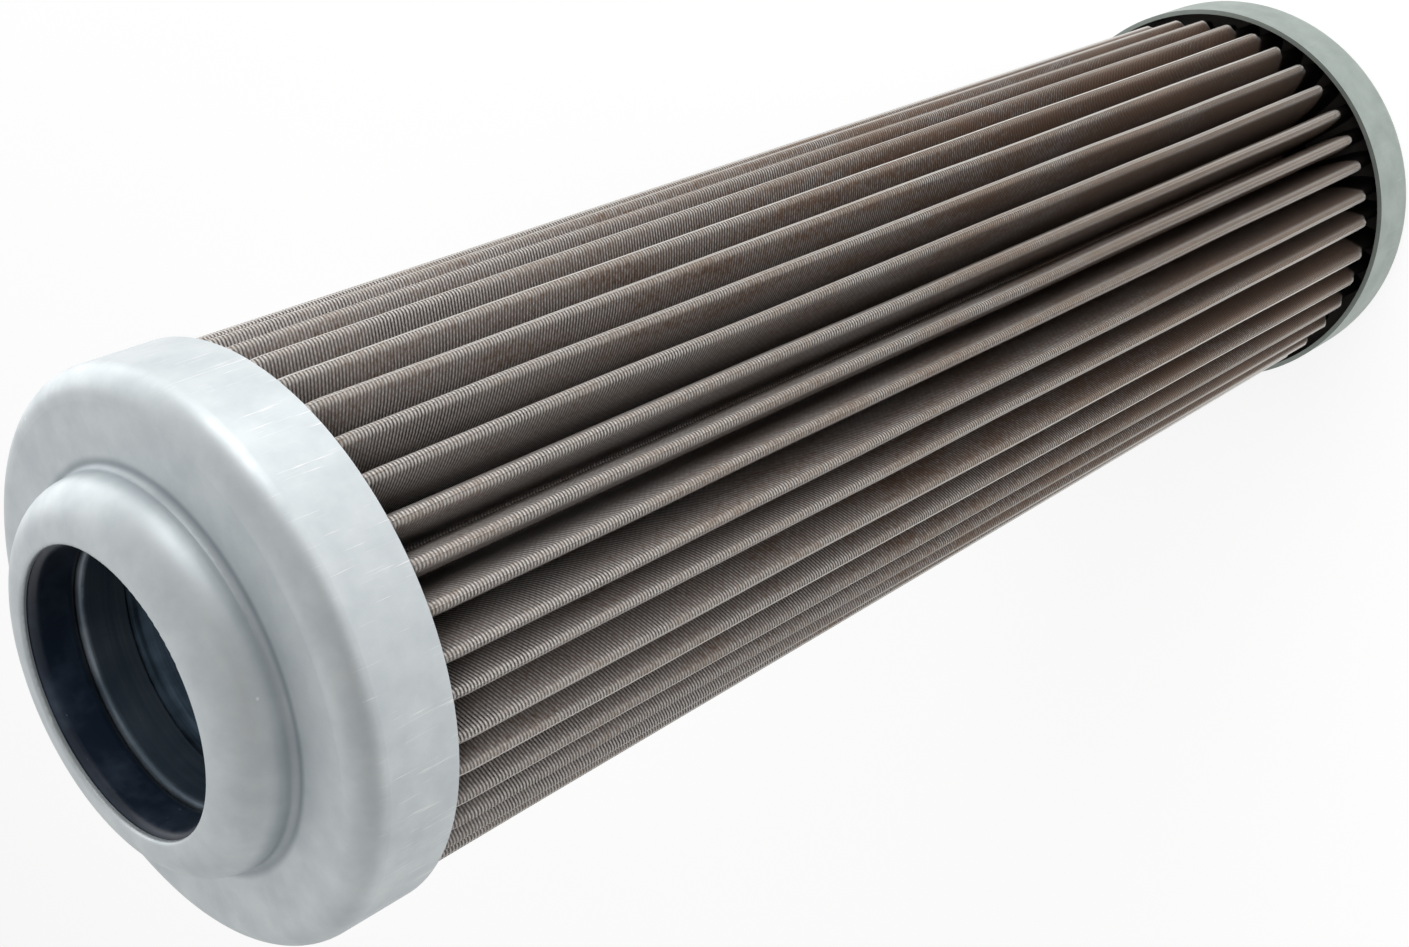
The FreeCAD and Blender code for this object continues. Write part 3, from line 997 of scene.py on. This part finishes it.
    def raise_section(self, section: np.ndarray, heights: np.ndarray) -> np.ndarray:
        """Carries a face's section up the element and adds the unevenness of the folds.

        Each pleat sways by a sum of three sines of the height, leans by its own amount,
        and is pulled in near the caps, all by a share that grows from valley to crest.

        Args:
            section: points by 2, radius and angle.
            heights: the rows' heights.

        Returns:
            Rows by points by 3, in millimetres.
        """
        radius, angle = section[:, 0][None, :], section[:, 1][None, :]
        height = heights[:, None]
        valley_floor = self.valley_centre - self.valley_round
        rise = np.clip((radius - valley_floor) / (self.crest_radius - valley_floor), 0.0, 1.0)
        pleat = np.rint(angle / (FULL_TURN / self.pleats)).astype(int) % self.pleats
        chance = np.random.default_rng(self.seed)
        phases = chance.uniform(0.0, FULL_TURN, (3, self.pleats))
        tilts = chance.normal(0.0, self.lean, self.pleats)
        uneven = chance.uniform(*self.draw_in_spread, self.pleats)[pleat]
        held = pleat == self.clip_pleat
        swing = np.broadcast_to(tilts[pleat], np.broadcast_shapes(radius.shape, height.shape))
        for phase, wave in zip(phases, self.waves):
            sway = self.sway * wave / self.waves[0]
            swing = swing + sway * np.sin(FULL_TURN * height / wave + phase[pleat])
        sideways = np.where(held, 0.0, rise**self.sway_growth * swing / self.crest_radius)
        entries = (height - self.skirt_low, self.skirt_high - height)
        drawn = sum(
            depth * (1 - smooth_step(entry / self.draw_in_length))
            for depth, entry in zip(self.draw_in, entries)
        )
        turned = angle + self.slide(angle, height) + sideways
        pulled = radius - rise**self.draw_in_growth * drawn * np.where(held, 1.0, uneven)
        level = np.broadcast_to(height, pulled.shape)
        return np.stack([pulled * np.cos(turned), pulled * np.sin(turned), level], axis=-1)

    def slide(self, angle: np.ndarray, height: np.ndarray) -> np.ndarray:
        """How far the pleats have slid round the core, in radians.

        At the open end those below one angle have slid towards it, by a share of how far
        they are from it. At the closed end all have slid back by the same small angle.
        Nothing slides at the back, where the seam clip holds the cloth.

        Args:
            angle: the section's angles.
            height: the rows' heights.

        Returns:
            The shift at each row and point.
        """
        held = self.crowding
        degrees = (np.degrees(angle) - held.held_from) % 360.0 + held.held_from
        slid = held.slide_share * np.clip(held.slide_below - degrees, 0.0, None)
        after = smooth_step((degrees - held.held_to) / held.ease_after)
        before = smooth_step((held.held_from + 360.0 - degrees) / held.ease_before)
        up = np.clip((height - self.skirt_low) / (self.skirt_high - self.skirt_low), 0.0, 1.0)
        return np.radians(after * before * (up * slid - held.slide_back * (1 - up)))


@dataclass(frozen=True)
class Lamp:
    """A soft round lamp that faces the middle of the element, its lengths in metres.

    A lamp that isn't mirrored lights everything but isn't seen in the metal, as one with
    a crossed polarising film.
    """

    name: str
    azimuth: float
    elevation: float
    distance: float
    size: float
    level: float
    mirrored: bool = True

    def hang(self, aim: Vector) -> None:
        """Hangs the lamp.

        Its power is the level times pi squared times the distance squared, so a white
        surface that faces it renders at about that level.

        Args:
            aim: the point that it faces, in metres.
        """
        light = bpy.data.lights.new(self.name, "AREA")
        light.shape = "DISK"
        light.size = self.size
        light.energy = self.level * (math.pi * self.distance) ** 2
        lamp = bpy.data.objects.new(self.name, light)
        turn, rise = math.radians(self.azimuth), math.radians(self.elevation)
        flat = math.cos(rise)
        way = Vector((math.cos(turn) * flat, math.sin(turn) * flat, math.sin(rise)))
        lamp.location = aim + way * self.distance
        lamp.rotation_mode = "QUATERNION"
        lamp.rotation_quaternion = way.to_track_quat("Z", "Y")
        lamp.visible_glossy = self.mirrored
        bpy.context.scene.collection.objects.link(lamp)


@dataclass(frozen=True)
class Studio:
    """A pale floor, soft lamps and the photograph's point of view.

    The floor's lengths are in metres and the camera's in millimetres. What metal sees of
    the floor goes from the first level to the second over the floor's span along X.
    """

    floor_half: float = 3.0
    floor_white: float = 0.8
    floor_lit: str = "B0B0B0"
    floor_shaded: str = "8C8C8C"
    floor_in_metal: Span = (0.74, 1.0)
    floor_span: Span = (-0.2, 0.0)
    surround: float = 0.38
    lit_side: tuple[float, float, float] = (0.35, 0.0, 0.04)
    surround_in_metal: float = 0.5
    bright_side: tuple[float, float, float] = (-0.04, 0.36, 0.0)
    backdrop: float = 1.0
    lens: float = 50.23
    sensor: float = 36.0
    nearest: float = 10.0
    side_step: float = -6.19
    setback: float = 205.58
    stand_height: float = 339.45
    aim_height: float = 156.46
    turn: float = 3.0
    roll: float = -115.64
    lamps: tuple[Lamp, ...] = (  # azimuth, elevation and distance come first
        Lamp("key_lamp", -30.0, 0.0, 0.8, size=0.55, level=0.26),
        Lamp("front_lamp", -48.0, 32.0, 1.0, size=0.8, level=0.44, mirrored=False),
        Lamp("mouth_lamp", -92.0, 54.0, 1.0, size=0.4, level=0.3, mirrored=False),
        Lamp("edge_lamp", 35.0, 8.0, 0.8, size=0.9, level=0.3),
    )

    def set_up(self) -> None:
        """Builds the floor, the surround, the lamps and the camera."""
        self.lay_floor()
        self.set_surround()
        middle = Vector((0.0, 0.0, (CAD_BOX[0][2] + CAD_BOX[1][2]) / 2))
        for lamp in self.lamps:
            lamp.hang(middle)
        self.place_camera()
        bpy.context.scene.view_settings.view_transform = "Standard"

    def lay_floor(self) -> None:
        """Lays a pale floor that keeps the element's shadow but reads as white.

        Metal sees its white part less and less towards one side.
        """
        half = self.floor_half
        corners = [(-half, -half, 0.0), (half, -half, 0.0), (half, half, 0.0), (-half, half, 0.0)]
        mesh = bpy.data.meshes.new("floor")
        mesh.from_pydata(corners, [], [(0, 1, 2, 3)])
        floor = bpy.data.objects.new("floor", mesh)
        bpy.context.scene.collection.objects.link(floor)
        material, tree = empty_material("pale_floor")
        camera_ray, mirrored = ray_kinds(tree)
        plain, faint = (
            add_node(tree, "ShaderNodeBsdfDiffuse", {"Color": linear(grey)}).outputs[0]
            for grey in (self.floor_lit, self.floor_shaded)
        )
        white = add_node(tree, "ShaderNodeEmission", {"Strength": self.floor_white}).outputs[0]
        seen = add_node(tree, "ShaderNodeAddShader", {0: faint, 1: white}).outputs[0]
        place = add_node(tree, "ShaderNodeTexCoord").outputs["Object"]
        across = parts_of(tree, place)[0]
        in_metal = remap(tree, across, self.floor_span, self.floor_in_metal)
        shown = maths(tree, "MULTIPLY_ADD", mirrored, in_metal, camera_ray)
        mixed = add_node(tree, "ShaderNodeMixShader", {0: shown, 1: plain, 2: seen})
        add_node(tree, "ShaderNodeOutputMaterial", {"Surface": mixed.outputs[0]})
        mesh.materials.append(material)

    def set_surround(self) -> None:
        """Lights everything softly from all round, and shows plain white to the camera.

        Its light and what metal sees of it are each brighter on one side: a level plus
        the direction's product with that side.
        """
        world = bpy.data.worlds.new("soft_surround")
        bpy.context.scene.world = world
        world.use_nodes = True
        tree = world.node_tree
        tree.nodes.clear()
        camera_ray, mirrored = ray_kinds(tree)
        way = add_node(tree, "ShaderNodeTexCoord").outputs["Generated"]
        strengths: list[object] = [
            maths(tree, "ADD", vector_maths(tree, "DOT_PRODUCT", way, side), level)
            for level, side in (
                (self.surround, self.lit_side),
                (self.surround_in_metal, self.bright_side),
            )
        ]
        soft, metal, white = (
            add_node(tree, "ShaderNodeBackground", {"Strength": strength}).outputs[0]
            for strength in (*strengths, self.backdrop)
        )
        lit = add_node(tree, "ShaderNodeMixShader", {0: mirrored, 1: soft, 2: metal}).outputs[0]
        mixed = add_node(tree, "ShaderNodeMixShader", {0: camera_ray, 1: lit, 2: white})
        add_node(tree, "ShaderNodeOutputWorld", {"Surface": mixed.outputs[0]})

    def place_camera(self) -> None:
        """Puts the camera where the photograph was taken from, and rolls it as there."""
        data = bpy.data.cameras.new("photographers_view")
        data.lens = self.lens
        data.sensor_width = self.sensor
        data.clip_start = self.nearest * MM
        camera = bpy.data.objects.new("photographers_view", data)
        turned = Matrix.Rotation(math.radians(self.turn), 3, "Z")
        stand = turned @ Vector((self.side_step, -self.setback, self.stand_height)) * MM
        aim = turned @ Vector((self.side_step, 0.0, self.aim_height)) * MM
        back = (stand - aim).normalized()
        level = back.to_track_quat("Z", "Y").to_matrix()
        rolled = Matrix.Rotation(math.radians(self.roll), 3, "Z")
        camera.matrix_world = Matrix.Translation(stand) @ (level @ rolled).to_4x4()
        bpy.context.scene.collection.objects.link(camera)
        bpy.context.scene.camera = camera


def dress_node(node: str, material: bpy.types.Material) -> None:
    """Gives a node of the frame its finish.

    Args:
        node: the node's name.
        material: the finish.
    """
    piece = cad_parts[node]
    for index in range(len(piece.material_slots)):
        piece.material_slots[index].material = material
    log.info("%s: dressed in %s", node, material.name)


def fold_cloths() -> None:
    """Builds the filter cloth and the drainage cloth in the places of their nodes."""
    pack = PleatedPack()
    cloth = StainlessWireCloth().build("stainless_wire_cloth")
    under = pack.cloth + pack.layer_gap
    filter_cloth = pack.layer("pleated_filter_cloth", 0.0, cloth, face_rows=54, back_rows=14)
    settle(filter_cloth, "filter_mesh")
    drainage_cloth = pack.layer("pleated_drainage_cloth", under, cloth, face_rows=30, back_rows=14)
    settle(drainage_cloth, "drainage_mesh")


def dress_frame() -> None:
    """Builds the other finishes and gives the frame's nodes theirs."""
    zinc = ZincPlatedSteel().build("zinc_plated_steel")
    # A darker, greener copy of the cap's zinc for the closed cap: painted shade.
    painted_shade_zinc = ZincPlatedSteel(
        clean="B4BEB8", clouded="AAB4AE", scratched="BAC4BE", painted_shade_share=0.0
    ).build("painted_shade_zinc_plated_steel")
    bright = TurnedSteel(
        light="C9D2D8",
        dark="8F9BA4",
        metallic=0.9,
        roughness=0.3,
        ring_pitch=0.4,
        ring_depth=0.02,
    ).build("bright_rolled_steel")
    # The seat's sleeve gets painted shade below 241.4 mm, down the bore.
    seat = TurnedSteel(
        light="A2ACB4",
        dark="57636E",
        metallic=0.6,
        roughness=0.4,
        ring_pitch=0.8,
        ring_depth=0.06,
        painted_shade_top=241.4,
    ).build("painted_shade_rolled_steel")
    core = TurnedSteel(
        light="64788A",
        dark="18222C",
        metallic=0.4,
        roughness=0.4,
        ring_pitch=1.3,
        ring_depth=0.3,
    ).build("phosphated_tube_steel")
    rubber = MouldedRubber().build("moulded_nitrile_rubber")
    resin = CastResin().build("cast_epoxy_resin")
    dress_node("open_end_cap", zinc)
    dress_node("closed_end_cap", painted_shade_zinc)
    dress_node("neck_seal", rubber)
    dress_node("seal_seat_ring", seat)
    dress_node("seam_clip", bright)
    dress_node("core_tube", core)
    dress_node("open_end_adhesive", resin)
    dress_node("closed_end_adhesive", resin)


def main() -> None:
    """Builds and dresses the element, then sets the floor, the lamps and the view."""
    logging.basicConfig(level=logging.INFO, format="%(message)s")
    fold_cloths()
    dress_frame()
    Studio().set_up()


if __name__ == "__main__":
    main()
